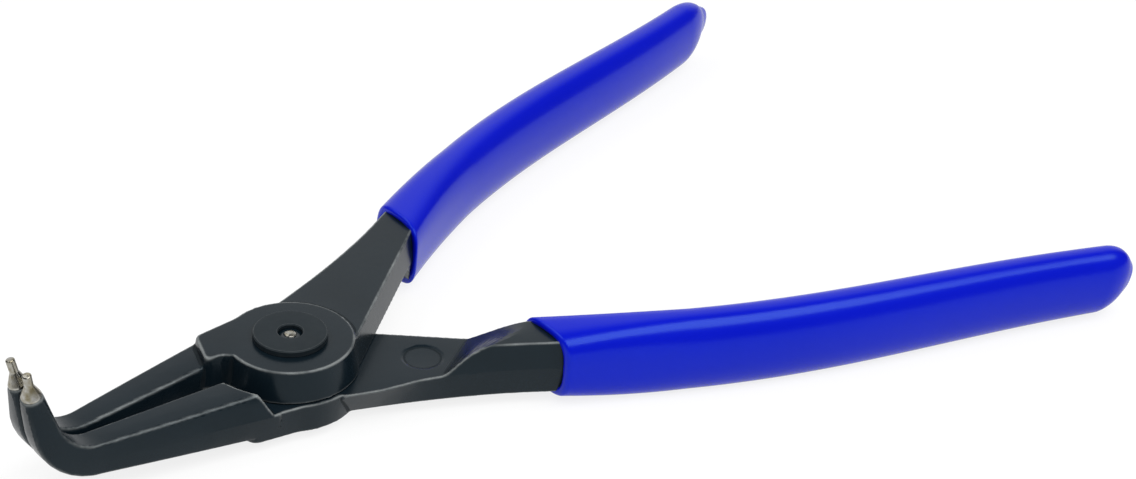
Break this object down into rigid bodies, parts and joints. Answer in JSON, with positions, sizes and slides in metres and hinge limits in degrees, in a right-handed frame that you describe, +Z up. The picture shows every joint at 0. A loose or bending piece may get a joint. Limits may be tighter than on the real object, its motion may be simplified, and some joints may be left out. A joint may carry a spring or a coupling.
{
  "type": "circlip pliers",
  "caption": "Hand pliers for outside retaining rings: lapped forged levers on a capped pivot, jaws bent up to slim round pin tips, dipped plastic grips on the handles.",
  "frame": {"origin": "on the pivot axis, in the plane of the lower boss's outer face", "axes": "+X along the middle line towards the handles, +Y towards the upper lever's handle, +Z up along the pivot axis, the way the jaws bend"},
  "size_m": [0.1808, 0.1152, 0.0243],
  "materials": {
    "black_steel": "satin",
    "bright_steel": "turned",
    "spring_steel": "drawn wire",
    "grip_blue": "satin gloss"
  },
  "bodies": {
    "lower_arm": {"lower_lever": "black_steel", "lower_grip": "grip_blue", "lower_tip": "bright_steel", "pivot_pin": "bright_steel", "joint_cap": "black_steel", "return_spring": "spring_steel"},
    "upper_arm": {"upper_lever": "black_steel", "upper_grip": "grip_blue", "upper_tip": "bright_steel"}
  },
  "joints": [
    {"name": "lever_pivot", "type": "hinge", "parent": "lower_arm", "child": "upper_arm", "pos_m": [0, 0, 0.0053], "axis": [0, 0, 1], "range_deg": [-36, 0], "stiffness_Nm_per_rad": 0.5, "springref_deg": 22.92, "deforming": ["return_spring"]}
  ]
}
